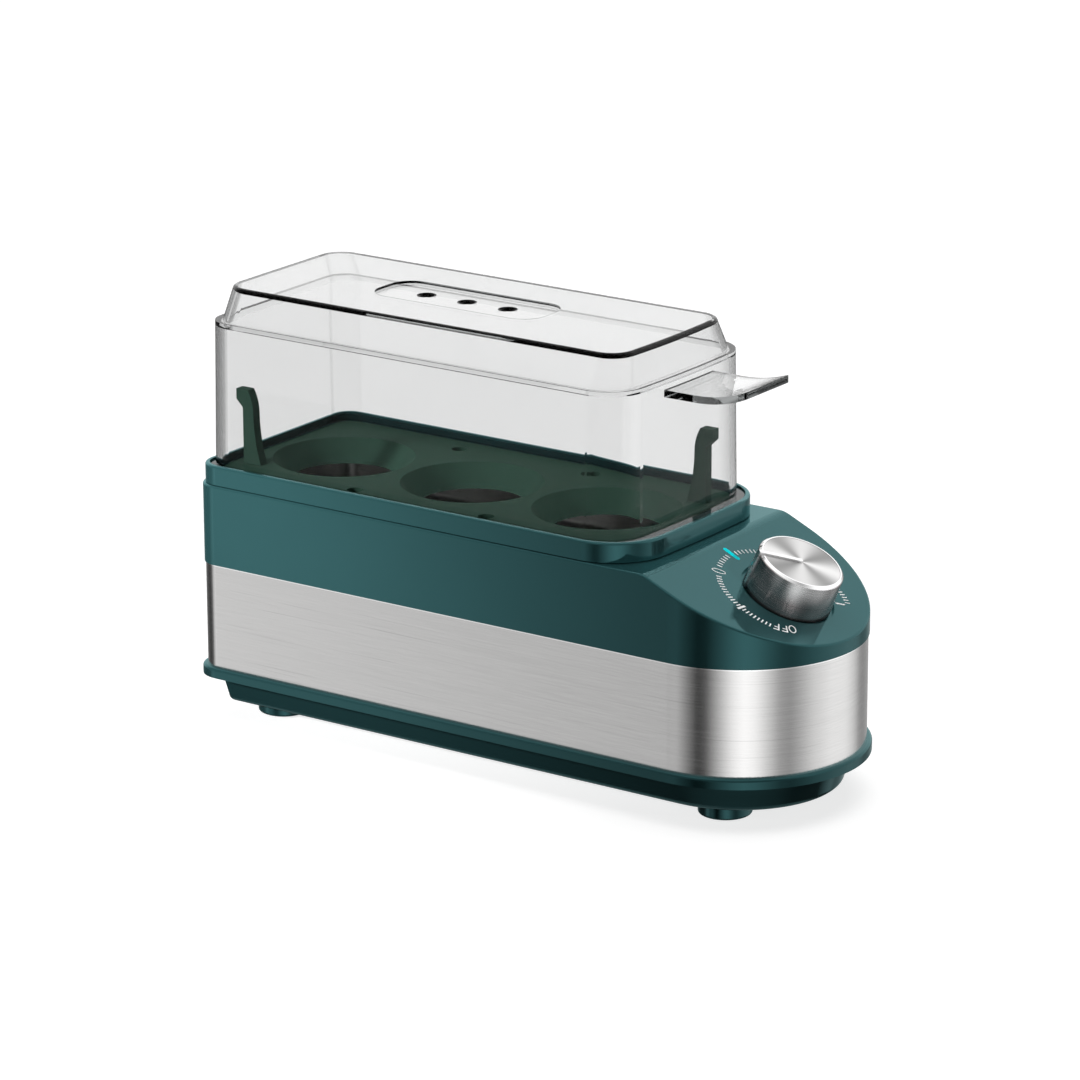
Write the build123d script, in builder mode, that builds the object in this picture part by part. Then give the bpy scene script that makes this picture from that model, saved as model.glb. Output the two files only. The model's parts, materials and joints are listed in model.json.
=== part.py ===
from build123d import *
import math
import os

# Three-egg electric cooker. Millimetres, +Z up, +X towards the dial nose, origin on the
# standing surface under the middle of the base.

# Three conical cups in a row, sized for a hen's egg, set the length of everything else
cup_count = 3
cup_mouth_radius = 22.0
cup_foot_radius = 16.5
cup_depth = 7.0
cup_wall = 1.6
cup_gap = 1.3
cup_rear_margin = 5.3
cup_front_margin = 11.2
cup_pitch = 2 * (cup_mouth_radius + cup_wall) + cup_gap
cup_row = (cup_count - 1) * cup_pitch + 2 * (cup_mouth_radius + cup_wall)

# Casing plan: straight sides, small rear corners and a half-round nose
band_width = 76.4
rear_corner = 7.5
band_wall = 0.8
rim_rear_margin = 0.45
deck_strip = 3.7
slope_setback = 8.65
rim_length = cup_rear_margin + cup_row + cup_front_margin
band_length = rim_rear_margin + rim_length + deck_strip + slope_setback + band_width / 2
casing_rear = -band_length / 2
nose_centre = (band_length - band_width) / 2

# Heights, one above the other
foot_height = 4.2
skirt_height = 9.7
flange_height = 3.2
band_height = 33.0
housing_height = 25.3
rim_height = 6.3
lid_wall_height = 46.4
lid_cap_height = 9.9

base_bottom = foot_height
flange_bottom = base_bottom + skirt_height
band_bottom = flange_bottom + flange_height
band_top = band_bottom + band_height
deck_top = band_top + housing_height
rim_top = deck_top + rim_height

# General clearances
seat_gap = 0.3
screw_gap = 0.06
shaft_gap = 0.05

# Base moulding
flange_proud = 1.6
skirt_inset_top = 4.2
skirt_inset_bottom = 6.8
skirt_round = 2.2
flange_round = 1.0
base_wall = 2.0
lip_wall = 1.6
lip_height = 4.0
floor_top = base_bottom + base_wall

# Upper housing
housing_proud = 0.4
housing_wall = 2.2
deck_thickness = 3.4
slope_start = nose_centre - slope_setback
slope_angle = 24.1
slope_thickness = 2.6
crease_round = 8.0
nose_round = 0.7

# Rim that carries the lid, measured at its outside
rim_step_in = 0.3
rim_rear = casing_rear + rim_rear_margin
rim_front = slope_start - deck_strip
rim_half = band_width / 2 + housing_proud - rim_step_in
rim_rear_round = rear_corner + housing_proud
rim_front_round = 18.0
rim_bow = 1.2
rim_wall = 1.4
rim_edge_round = 0.7
rim_groove = 0.35
tightest_corner = 4.0

# Steps inside the rim, as insets from its outside
lid_seat_depth = 2.2
tray_seat_depth = 2.2
tray_pocket_inset = 3.5
rim_opening_inset = 5.9
well_rear_shift = -0.2
well_front_shift = 1.9
well_middle = (rim_rear + well_rear_shift + rim_front - well_front_shift) / 2
lid_seat = rim_top - lid_seat_depth
tray_seat = lid_seat - tray_seat_depth

# Heating pan and its seal
pan_sheet = 0.8
pan_depth = 14.5
pan_floor_round = 3.0
pan_inset = 7.3
pan_flange_inset = 4.1
pan_opening_gap = 0.6
seal_thickness = 1.0
pan_flange_bottom = deck_top - pan_sheet
seal_bottom = pan_flange_bottom - seal_thickness
pan_floor = deck_top - pan_depth
pan_under = pan_floor - pan_sheet

# Lid, insets from the rim's outside as (side, rear, front, rear corner)
lid_wall = 1.8
lid_top_thickness = 2.0
lid_foot = (2.6, 1.7, 5.4, -0.8)
lid_shoulder = (3.6, 1.8, 5.7, -0.8)
cap_foot = (5.2, 3.4, 8.4, -1.1)
cap_top = (10.1, 4.4, 10.4, -0.3)
lid_flange_height = 1.6
cap_edge_round = 1.2
lid_shoulder_z = lid_seat + lid_wall_height
lid_top = lid_shoulder_z + lid_cap_height

# Vent panel in the lid's top
vent_panel_length = 61.0
vent_panel_width = 21.0
vent_panel_round = 7.5
vent_panel_depth = 0.8
vent_pitch = 15.0
vent_radius = 1.8
vent_mouth_radius = 3.0
vent_shift = -4.0
vent_middle = well_middle + vent_shift

# Finger tab on the lid's front
tab_width = 25.8
tab_thickness = 2.2
tab_overhang = 21.6
tab_flat = 4.7
tab_reach = rim_front + tab_overhang
tab_bend = rim_front + tab_flat
tab_rise = 3.2
tab_below_shoulder = 2.8
tab_corner = 2.5

# Egg tray
tray_thickness = 2.0
tray_gap = 0.4
cup_middle = rim_rear + cup_rear_margin + cup_row / 2
steam_hole_radius = 2.5
steam_hole_y = 27.0
stem_rear_margin = 3.7
stem_front_margin = 7.5
stem_depth = 4.0
stem_width = 3.2
stem_y = 21.1
stem_top = 102.6
hook_reach = 2.4
hook_lip = 3.3
hook_slant = 2.4
stem_flare = 2.6
stem_roof = 7.2
stem_bite = 0.5

# Dial knob, set square to the sloping nose
knob_along_slope = 27.95
knob_base_radius = 13.6
knob_top_radius = 13.1
knob_height = 11.7
knob_wall = 1.7
knob_roof = 2.0
knob_chamfer = 0.7
knob_drop = 0.5
well_radius = 14.6
well_depth = 1.0
cap_radius = 11.9
cap_thickness = 0.9
cap_sunk = 0.1
hub_radius = 5.0
pointer_width = 1.4
pointer_proud = 0.45
pointer_bed = 0.6
pointer_angle = -46.0

# Mechanical timer under the nose
shaft_radius = 3.0
shaft_top = 8.2
shaft_root = 6.0
shaft_flat = 0.8
shaft_flat_start = -0.5
shaft_hole_radius = 4.0
boss_radius = 16.0
boss_drop = 1.5
timer_plate_thickness = 1.0
timer_plate_radius = 17.0
timer_case_radius = 19.0
timer_case_depth = 20.0
timer_case_round = 2.0
timer_screw_pitch = 20.0
timer_screw_radius = 1.25
timer_screw_head = 2.3
timer_screw_sink = 1.4
timer_screw_head_height = 1.1
timer_screw_length = 8.0
bell_radius = 16.0
bell_shoulder_radius = 12.0
bell_turn = 0.7
bell_height = 8.0
bell_sheet = 1.0
bell_stud_radius = 2.5
bell_gap = 1.5

# Heater under the pan
heat_plate_margin = 10.2
heat_plate_length = rim_length - well_rear_shift - well_front_shift - 2 * (pan_inset + heat_plate_margin)
heat_plate_side_margin = 9.0
heat_plate_width = 2 * (rim_half - pan_inset - heat_plate_side_margin)
heat_plate_thickness = 3.0
heat_plate_round = 10.0
heater_shift = -2.2
heater_middle = well_middle + heater_shift
element_radius = 3.2
element_leg_y = 14.0
element_end_margin = 14.0
element_leg_length = heat_plate_length - 2 * element_end_margin
element_sunk = 1.3
element_pin_radius = 1.3
element_pin_length = 8.0
thermostat_radius = 8.0
thermostat_height = 7.0
thermostat_rim_height = 3.9
thermostat_body_radius = 6.5
strap_sheet = 0.8
strap_width = 8.0
strap_ear = 7.0
fuse_radius = 2.0
fuse_length = 14.0
fuse_offset = -30.0
small_screw_radius = 1.25
small_screw_head = 2.2
small_head_height = 1.2
small_screw_bite = 2.2

# Posts and screws that hold base and housing together
post_radius = 3.5
post_rise = 15.8
post_foot = floor_top + post_rise
rear_post_setback = 29.85
rear_post_inset = 12.2
rear_post = (casing_rear + rear_post_setback, band_width / 2 - rear_post_inset)
front_post_setback = 11.65
front_post_inset = 11.2
front_post = (nose_centre - front_post_setback, band_width / 2 - front_post_inset)
rear_post_gap = 3.1
rear_post_top = pan_under - rear_post_gap
post_web = 2.0
post_bite = 0.5
web_reach = rear_post_inset - housing_wall / 2
screw_radius = 1.5
screw_head_radius = 2.8
screw_head_height = 2.4
screw_bite = 12.0
screw_tip = post_foot + screw_bite
screw_recess_radius = 3.3
screw_recess_depth = 5.8
screw_recess_top = base_bottom + screw_recess_depth
base_boss_radius = 4.6

# Feet
foot_radius = 8.1
foot_rear_setback = 18.85
foot_rear_x = casing_rear + foot_rear_setback
foot_front_reach = 8.35
foot_front_x = nose_centre + foot_front_reach
foot_inset = 18.7
foot_y = band_width / 2 - foot_inset
foot_edge_round = 0.8
pad_radius = 6.0
pad_thickness = 1.0
pad_proud = 0.4
foot_pin_radius = 2.5
foot_pin_height = 3.5

# Cord inlet at the rear of the base, and the terminal block behind it
gland_bore_radius = 2.7
gland_body_radius = 3.7
gland_lip_radius = 4.3
gland_lip = 1.3
gland_rise = 4.9
gland_z = base_bottom + gland_rise
inlet_pad_setback = 4.25
inlet_pad_face = casing_rear + inlet_pad_setback
inlet_pad_depth = 4.0
inlet_pad_width = 13.0
inlet_pad_height = 8.7
terminal_setback = 21.6
terminal_middle = inlet_pad_face + terminal_setback
terminal_size = (16.0, 12.0, 9.0)
terminal_pad_height = 3.0
terminal_border = 2.0
terminal_hole_y = 4.0
terminal_hole_rise = 5.5
screw_relief = 0.4
terminal_hole_radius = 1.6

os.makedirs("parts", exist_ok=True)


def casing(grow):
    """Plan of the casing, grown outward from the steel band's outside."""
    half = band_width / 2 + grow
    rear = casing_rear - grow
    with BuildSketch() as plan:
        with BuildLine():
            Line((nose_centre, half), (rear, half))
            Line((rear, half), (rear, -half))
            Line((rear, -half), (nose_centre, -half))
            ThreePointArc((nose_centre, -half), (nose_centre + half, 0), (nose_centre, half))
        make_face()
        fillet(plan.vertices().group_by(Axis.X)[0], max(rear_corner + grow, 0.5))
    return plan.sketch


def rim_plan(side, rear, front, corner=None):
    """Plan of the rim's outside, moved inward by an inset on the sides, rear and front."""
    corner = rear if corner is None else corner
    half = rim_half - side
    back = rim_rear + rear
    tip = rim_front - front
    with BuildSketch() as plan:
        with BuildLine():
            Line((tip - rim_bow, half), (back, half))
            Line((back, half), (back, -half))
            Line((back, -half), (tip - rim_bow, -half))
            ThreePointArc((tip - rim_bow, -half), (tip, 0), (tip - rim_bow, half))
        make_face()
        fillet(plan.vertices().group_by(Axis.X)[0], max(rim_rear_round - corner, tightest_corner))
        fillet(plan.vertices().group_by(Axis.X)[-1], max(rim_front_round - front, tightest_corner))
    return plan.sketch


def well_plan(inset):
    """Plan of the nested openings, pan and tray inside the rim."""
    return rim_plan(inset, inset + well_rear_shift, inset + well_front_shift)


def between(low, high, share):
    """Insets part of the way from one outline to the next."""
    return tuple(a + (b - a) * share for a, b in zip(low, high))


def thicker(insets, amount):
    """Insets moved further in by a wall thickness."""
    return tuple(value + amount for value in insets)


# The sloping nose and the knob's axis square to it
slope = math.radians(slope_angle)
slope_normal = (math.sin(slope), 0, math.cos(slope))
slope_run = (math.cos(slope), 0, -math.sin(slope))
slope_plane = Plane(origin=(slope_start, 0, deck_top), x_dir=slope_run, z_dir=slope_normal)
dial = Plane(
    origin=(
        slope_start + knob_along_slope * math.cos(slope),
        0,
        deck_top - knob_along_slope * math.sin(slope),
    ),
    x_dir=slope_run,
    z_dir=slope_normal,
)

# Base moulding: tapered tub, flange and locating lip
feet_places = [
    (x, y) for x in (foot_rear_x, foot_front_x) for y in (-foot_y, foot_y)
]
post_places = [
    (x, side * y) for x, y in (rear_post, front_post) for side in (-1, 1)
]
inlet = Plane(origin=(inlet_pad_face, 0, gland_z), x_dir=(0, 1, 0), z_dir=(-1, 0, 0))

with BuildPart() as base:
    with BuildSketch(Plane.XY.offset(base_bottom)):
        add(casing(-skirt_inset_bottom))
    with BuildSketch(Plane.XY.offset(flange_bottom)):
        add(casing(-skirt_inset_top))
    loft(ruled=True)
    fillet(base.faces().sort_by(Axis.Z)[0].edges(), skirt_round)
    with BuildSketch(Plane.XY.offset(flange_bottom)):
        add(casing(flange_proud))
    extrude(amount=flange_height)
    fillet(base.faces().sort_by(Axis.Z)[-1].edges(), flange_round)
    with BuildSketch(Plane.XY.offset(band_bottom)):
        add(casing(-band_wall - seat_gap))
    extrude(amount=lip_height)
    with BuildSketch(Plane.XY.offset(floor_top)):
        add(casing(-skirt_inset_bottom - base_wall))
    with BuildSketch(Plane.XY.offset(flange_bottom)):
        add(casing(-skirt_inset_top - base_wall))
    loft(ruled=True, mode=Mode.SUBTRACT)
    with BuildSketch(Plane.XY.offset(flange_bottom)):
        add(casing(-skirt_inset_top - base_wall))
    extrude(amount=flange_height, mode=Mode.SUBTRACT)
    with BuildSketch(Plane.XY.offset(band_bottom)):
        add(casing(-band_wall - seat_gap - lip_wall))
    extrude(amount=lip_height, mode=Mode.SUBTRACT)
    with BuildSketch(Plane.XY.offset(floor_top)):
        with Locations(*post_places):
            Circle(base_boss_radius)
    extrude(amount=post_foot - floor_top)
    with BuildSketch(Plane.XY.offset(base_bottom)):
        with Locations(*post_places):
            Circle(screw_recess_radius)
    extrude(amount=screw_recess_top - base_bottom, mode=Mode.SUBTRACT)
    with BuildSketch(Plane.XY.offset(base_bottom)):
        with Locations(*post_places):
            Circle(screw_radius + screw_gap)
    extrude(amount=post_foot - base_bottom, mode=Mode.SUBTRACT)
    with BuildSketch(Plane.XY.offset(base_bottom)):
        with Locations(*feet_places):
            Circle(foot_pin_radius + screw_gap)
    extrude(amount=base_wall, mode=Mode.SUBTRACT)
    with BuildSketch(inlet):
        Rectangle(inlet_pad_width, inlet_pad_height)
    extrude(amount=-inlet_pad_depth)
    with BuildSketch(inlet):
        Circle(gland_body_radius + shaft_gap)
    extrude(amount=-inlet_pad_depth, mode=Mode.SUBTRACT)
    with BuildSketch(Plane.XY.offset(floor_top)):
        with Locations((terminal_middle, 0)):
            Rectangle(terminal_size[0] + terminal_border, terminal_size[1] + terminal_border)
    extrude(amount=terminal_pad_height)
    with BuildSketch(Plane.XY.offset(floor_top + terminal_pad_height)):
        with Locations((terminal_middle, 0)):
            Circle(small_screw_radius + screw_gap)
    extrude(amount=-small_screw_bite - screw_relief, mode=Mode.SUBTRACT)
base.part.label = "base"
export_step(base.part, "parts/base.step")

# Brushed steel band, one bent and welded strip
with BuildPart() as steel_band:
    with BuildSketch(Plane.XY.offset(band_bottom)):
        add(casing(0))
        add(casing(-band_wall), mode=Mode.SUBTRACT)
    extrude(amount=band_height)
steel_band.part.label = "steel_band"
export_step(steel_band.part, "parts/steel_band.step")

# Upper housing: shell with a flat deck, sloping nose, pan opening, dial well and posts
timer_screw_places = [(0, -timer_screw_pitch / 2), (0, timer_screw_pitch / 2)]

with BuildPart() as upper_housing:
    with BuildSketch(Plane.XY.offset(band_top)):
        add(casing(housing_proud))
    extrude(amount=housing_height)
    split(bisect_by=slope_plane, keep=Keep.BOTTOM)
    sloping_face = upper_housing.faces().filter_by(slope_plane).sort_by(Axis.X)[-1]
    fillet(sloping_face.edges().filter_by(Axis.Y), crease_round)
    sloping_face = upper_housing.faces().filter_by(slope_plane).sort_by(Axis.X)[-1]
    fillet(sloping_face.edges().filter_by(GeomType.ELLIPSE), nose_round)
    with BuildSketch(Plane.XY.offset(band_top)):
        add(casing(housing_proud - housing_wall))
    hollow = extrude(amount=housing_height - deck_thickness, mode=Mode.PRIVATE)
    hollow = split(
        hollow,
        bisect_by=slope_plane.offset(-slope_thickness),
        keep=Keep.BOTTOM,
        mode=Mode.PRIVATE,
    )
    add(hollow, mode=Mode.SUBTRACT)
    with BuildSketch(Plane.XY.offset(band_top - lip_height)):
        add(casing(-band_wall - seat_gap))
        add(casing(-band_wall - seat_gap - lip_wall), mode=Mode.SUBTRACT)
    extrude(amount=lip_height + lip_wall)
    with BuildSketch(Plane.XY.offset(seal_bottom)):
        add(well_plan(pan_flange_inset - seat_gap))
    extrude(amount=deck_top - seal_bottom, mode=Mode.SUBTRACT)
    with BuildSketch(Plane.XY.offset(seal_bottom)):
        add(well_plan(pan_inset - pan_opening_gap))
    extrude(amount=-deck_thickness, mode=Mode.SUBTRACT)
    with BuildSketch(dial.offset(-slope_thickness)):
        Circle(boss_radius)
    extrude(amount=-boss_drop)
    with BuildSketch(dial):
        Circle(well_radius)
    extrude(amount=-well_depth, mode=Mode.SUBTRACT)
    with BuildSketch(dial):
        Circle(shaft_hole_radius)
    extrude(amount=-slope_thickness - boss_drop, mode=Mode.SUBTRACT)
    with BuildSketch(dial.offset(-well_depth)):
        with Locations(*timer_screw_places):
            Circle(timer_screw_head + screw_gap)
    extrude(amount=-timer_screw_sink, mode=Mode.SUBTRACT)
    with BuildSketch(dial):
        with Locations(*timer_screw_places):
            Circle(timer_screw_radius + screw_gap)
    extrude(amount=-slope_thickness - boss_drop, mode=Mode.SUBTRACT)
    with BuildSketch(Plane.XY.offset(post_foot)):
        with Locations((rear_post[0], rear_post[1]), (rear_post[0], -rear_post[1])):
            Circle(post_radius)
    extrude(amount=rear_post_top - post_foot)
    with BuildSketch(Plane.XY.offset(band_top + post_bite)):
        with Locations(
            (rear_post[0], rear_post[1] + web_reach / 2),
            (rear_post[0], -rear_post[1] - web_reach / 2),
        ):
            Rectangle(post_web, web_reach)
    extrude(amount=rear_post_top - band_top - post_bite)
    with BuildSketch(Plane.XY.offset(post_foot)):
        with Locations((front_post[0], front_post[1]), (front_post[0], -front_post[1])):
            Circle(post_radius)
    extrude(amount=deck_top - deck_thickness - post_foot + post_bite)
    with BuildSketch(Plane.XY.offset(post_foot)):
        with Locations(*post_places):
            Circle(screw_radius + screw_gap)
    extrude(amount=screw_tip - post_foot + post_bite, mode=Mode.SUBTRACT)
upper_housing.part.label = "upper_housing"
export_step(upper_housing.part, "parts/upper_housing.step")

# Rim ring with a step for the lid and a lower step for the tray
with BuildPart() as rim_ring:
    with BuildSketch(Plane.XY.offset(deck_top)):
        add(rim_plan(0, 0, 0))
    extrude(amount=rim_height)
    fillet(rim_ring.faces().sort_by(Axis.Z)[-1].edges(), rim_edge_round)
    chamfer(rim_ring.faces().sort_by(Axis.Z)[0].edges(), rim_groove)
    with BuildSketch(Plane.XY.offset(lid_seat)):
        add(rim_plan(rim_wall, rim_wall, rim_wall))
    extrude(amount=lid_seat_depth, mode=Mode.SUBTRACT)
    with BuildSketch(Plane.XY.offset(tray_seat)):
        add(well_plan(tray_pocket_inset))
    extrude(amount=tray_seat_depth, mode=Mode.SUBTRACT)
    with BuildSketch(Plane.XY.offset(deck_top)):
        add(well_plan(rim_opening_inset))
    extrude(amount=tray_seat - deck_top, mode=Mode.SUBTRACT)
rim_ring.part.label = "rim_ring"
export_step(rim_ring.part, "parts/rim_ring.step")

# Drawn steel pan that holds the water, clamped by its flange under the rim
with BuildPart() as heating_pan:
    with BuildSketch(Plane.XY.offset(pan_flange_bottom)):
        add(well_plan(pan_flange_inset))
    extrude(amount=pan_sheet)
    with BuildSketch(Plane.XY.offset(pan_under)):
        add(well_plan(pan_inset))
    extrude(amount=deck_top - pan_under - pan_sheet / 2)
    fillet(heating_pan.faces().sort_by(Axis.Z)[0].edges(), pan_floor_round)
    with BuildSketch(Plane.XY.offset(pan_floor)):
        add(well_plan(pan_inset + pan_sheet))
    water = extrude(amount=pan_depth, mode=Mode.PRIVATE)
    water = water.solid().fillet(pan_floor_round - pan_sheet, water.faces().sort_by(Axis.Z)[0].edges())
    add(water, mode=Mode.SUBTRACT)
heating_pan.part.label = "heating_pan"
export_step(heating_pan.part, "parts/heating_pan.step")

# Flat seal between the pan's flange and the housing
with BuildPart() as pan_seal:
    with BuildSketch(Plane.XY.offset(seal_bottom)):
        add(well_plan(pan_flange_inset + seat_gap))
        add(well_plan(pan_inset - seat_gap), mode=Mode.SUBTRACT)
    extrude(amount=seal_thickness)
pan_seal.part.label = "pan_seal"
export_step(pan_seal.part, "parts/pan_seal.step")

# Clear lid: drafted wall, small shoulder, sloping cap, vent panel and finger tab
cap_lean = tuple((b - a) / lid_cap_height for a, b in zip(cap_foot, cap_top))
cap_wall = tuple(lid_wall * math.hypot(1, lean) for lean in cap_lean)


def cap_inside(z):
    """Insets of the cap's inner face at a height."""
    outside = between(cap_foot, cap_top, (z - lid_shoulder_z) / lid_cap_height)
    return tuple(a + b for a, b in zip(outside, cap_wall))


with BuildPart() as lid:
    with BuildSketch(Plane.XY.offset(lid_seat)):
        add(rim_plan(*lid_foot))
    with BuildSketch(Plane.XY.offset(lid_shoulder_z)):
        add(rim_plan(*lid_shoulder))
    loft(ruled=True)
    with BuildSketch(Plane.XY.offset(lid_shoulder_z)):
        add(rim_plan(*cap_foot))
    with BuildSketch(Plane.XY.offset(lid_top)):
        add(rim_plan(*cap_top))
    loft(ruled=True)
    fillet(lid.faces().sort_by(Axis.Z)[-1].edges(), cap_edge_round)
    with BuildSketch(Plane.XY.offset(lid_seat)):
        add(rim_plan(*thicker((rim_wall, rim_wall, rim_wall), seat_gap)))
    extrude(amount=lid_flange_height)
    tab_top = lid_shoulder_z - tab_below_shoulder
    tab_root = rim_front - lid_shoulder[2] - lid_wall / 2
    with BuildSketch(Plane.XZ.offset(-tab_width / 2)):
        with BuildLine():
            Line((tab_root, tab_top), (tab_bend, tab_top))
            upper = TangentArc((tab_bend, tab_top), (tab_reach, tab_top + tab_rise), tangent=(1, 0))
            lower = TangentArc(
                (tab_bend, tab_top - tab_thickness),
                (tab_reach, tab_top + tab_rise - tab_thickness),
                tangent=(1, 0),
            )
            Line(upper @ 1, lower @ 1)
            Line(lower @ 0, (tab_root, tab_top - tab_thickness))
            Line((tab_root, tab_top - tab_thickness), (tab_root, tab_top))
        make_face()
    extrude(amount=tab_width)
    fillet(lid.edges().group_by(Axis.X)[-1].sort_by(Axis.Y)[0], tab_corner)
    fillet(lid.edges().filter_by(Axis.Z).group_by(Axis.X)[-1].sort_by(Axis.Y)[-1], tab_corner)
    with BuildSketch(Plane.XY.offset(lid_seat)):
        add(rim_plan(*thicker(lid_foot, lid_wall)))
    with BuildSketch(Plane.XY.offset(lid_shoulder_z - lid_wall)):
        add(rim_plan(*thicker(lid_shoulder, lid_wall)))
    loft(ruled=True, mode=Mode.SUBTRACT)
    with BuildSketch(Plane.XY.offset(lid_shoulder_z - lid_wall)):
        add(rim_plan(*cap_inside(lid_shoulder_z - lid_wall)))
    with BuildSketch(Plane.XY.offset(lid_top - lid_top_thickness)):
        add(rim_plan(*cap_inside(lid_top - lid_top_thickness)))
    loft(ruled=True, mode=Mode.SUBTRACT)
    with BuildSketch(Plane.XY.offset(lid_top)):
        with Locations((vent_middle, 0)):
            RectangleRounded(vent_panel_length, vent_panel_width, vent_panel_round)
    extrude(amount=-vent_panel_depth, mode=Mode.SUBTRACT)
    with Locations(Plane.XY.offset(lid_top - vent_panel_depth)):
        with Locations(*[(vent_middle + step * vent_pitch, 0) for step in (-1, 0, 1)]):
            CounterSinkHole(vent_radius, vent_mouth_radius)
lid.part.label = "lid"
export_step(lid.part, "parts/lid.step")

# Egg tray: plate with conical cups and two hooked handles at opposite corners
tray_top = tray_seat + tray_thickness
tray_inset = tray_pocket_inset + tray_gap
tray_rear = rim_rear + tray_inset + well_rear_shift
tray_front = rim_front - tray_inset - well_front_shift
cup_places = [
    (cup_middle + (index - (cup_count - 1) / 2) * cup_pitch, 0) for index in range(cup_count)
]
steam_places = [
    (cup_middle + (index - (cup_count - 2) / 2) * cup_pitch, side * steam_hole_y)
    for index in range(cup_count - 1)
    for side in (-1, 1)
]

with BuildPart() as egg_tray:
    with BuildSketch(Plane.XY.offset(tray_seat)):
        add(well_plan(tray_inset))
    extrude(amount=tray_thickness)
    for place in cup_places:
        with BuildSketch(Plane.XY.offset(tray_top)):
            with Locations(place):
                Circle(cup_mouth_radius + cup_wall)
        with BuildSketch(Plane.XY.offset(tray_top - cup_depth)):
            with Locations(place):
                Circle(cup_foot_radius + cup_wall)
        loft(ruled=True)
    for place in cup_places:
        with BuildSketch(Plane.XY.offset(tray_top)):
            with Locations(place):
                Circle(cup_mouth_radius)
        with BuildSketch(Plane.XY.offset(tray_top - cup_depth)):
            with Locations(place):
                Circle(cup_foot_radius)
        loft(ruled=True, mode=Mode.SUBTRACT)
    with BuildSketch(Plane.XY.offset(tray_seat)):
        with Locations(*steam_places):
            Circle(steam_hole_radius)
    extrude(amount=tray_thickness, mode=Mode.SUBTRACT)
    for side, outer in ((-1, tray_rear + stem_rear_margin), (1, tray_front - stem_front_margin)):
        inner = outer - side * stem_depth
        with BuildSketch(Plane.XZ.offset(-side * stem_y + stem_width / 2)):
            with BuildLine():
                Line((outer, tray_seat + stem_bite), (outer, stem_top - hook_lip - hook_slant))
                Line(
                    (outer, stem_top - hook_lip - hook_slant),
                    (outer + side * hook_reach, stem_top - hook_lip),
                )
                Line((outer + side * hook_reach, stem_top - hook_lip), (outer + side * hook_reach, stem_top))
                Line((outer + side * hook_reach, stem_top), (outer - side * stem_depth / 2, stem_top))
                shoulder = TangentArc(
                    (inner, stem_top - stem_roof),
                    (outer - side * stem_depth / 2, stem_top),
                    tangent=(0, 1),
                )
                flare = TangentArc(
                    (inner, stem_top - stem_roof),
                    (inner - side * stem_flare, tray_top),
                    tangent=(0, -1),
                )
                Line(flare @ 1, (inner - side * stem_flare, tray_seat + stem_bite))
                Line((inner - side * stem_flare, tray_seat + stem_bite), (outer, tray_seat + stem_bite))
            make_face()
        extrude(amount=-stem_width)
egg_tray.part.label = "egg_tray"
export_step(egg_tray.part, "parts/egg_tray.step")

# Knob shell with a hub, turned about the dial's axis
pointer_plane = Plane(
    origin=dial.origin,
    x_dir=dial.x_dir.rotate(Axis(dial.origin, dial.z_dir), 180 - pointer_angle),
    z_dir=dial.z_dir,
)
pointer_side = Plane(origin=dial.origin, x_dir=pointer_plane.x_dir, z_dir=-pointer_plane.y_dir)
knob_taper = (knob_base_radius - knob_top_radius) / (knob_height + knob_drop)
cap_floor = knob_height - cap_thickness - cap_sunk


def pointer_profile(spare):
    """Side view of the pointer: a bar across the top and a rib down the flank."""
    low = cap_floor + cap_thickness - pointer_bed - spare
    high = knob_height + pointer_proud
    with BuildSketch() as profile:
        with BuildLine():
            Polyline(
                (0, low),
                (knob_top_radius - pointer_bed - spare, low),
                (knob_base_radius - pointer_bed - spare, -knob_drop),
                (knob_base_radius + pointer_proud, -knob_drop),
                (knob_top_radius + pointer_proud, high),
                (0, high),
                (0, low),
            )
        make_face()
    return profile.sketch


with BuildPart() as pointer_slot:
    with BuildSketch(pointer_side):
        add(pointer_profile(screw_gap))
    extrude(amount=pointer_width / 2 + screw_gap, both=True)

with BuildPart() as knob_pointer:
    with BuildSketch(pointer_side):
        add(pointer_profile(0))
    extrude(amount=pointer_width / 2, both=True)
knob_pointer.part.label = "knob_pointer"
export_step(knob_pointer.part, "parts/knob_pointer.step")

with BuildPart() as knob:
    with BuildSketch(pointer_side):
        with BuildLine():
            Polyline(
                (hub_radius, 0),
                (hub_radius, cap_floor - knob_roof),
                (knob_top_radius - knob_wall, cap_floor - knob_roof),
                (knob_base_radius - knob_wall, -knob_drop),
                (knob_base_radius, -knob_drop),
                (knob_top_radius + knob_taper * knob_chamfer, knob_height - knob_chamfer),
                (knob_top_radius - knob_chamfer, knob_height),
                (cap_radius + shaft_gap, knob_height),
                (cap_radius + shaft_gap, cap_floor),
                (0, cap_floor),
                (0, 0),
                (hub_radius, 0),
            )
        make_face()
    revolve(axis=Axis(dial.origin, dial.z_dir))
    with BuildSketch(dial):
        Circle(shaft_radius + shaft_gap)
        with Locations((0, shaft_radius + shaft_gap)):
            Rectangle(3 * shaft_radius, 2 * shaft_flat, mode=Mode.SUBTRACT)
    extrude(amount=shaft_top + shaft_gap, mode=Mode.SUBTRACT)
    add(pointer_slot.part, mode=Mode.SUBTRACT)
knob.part.label = "knob"
export_step(knob.part, "parts/knob.step")

with BuildPart() as knob_cap:
    with BuildSketch(dial.offset(cap_floor)):
        Circle(cap_radius)
    extrude(amount=cap_thickness)
    add(pointer_slot.part, mode=Mode.SUBTRACT)
knob_cap.part.label = "knob_cap"
export_step(knob_cap.part, "parts/knob_cap.step")

# Timer: shaft, mounting plate, case, screws and bell, all along the dial's axis
plate_top = -slope_thickness - boss_drop
case_top = plate_top - timer_plate_thickness
case_bottom = case_top - timer_case_depth

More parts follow.
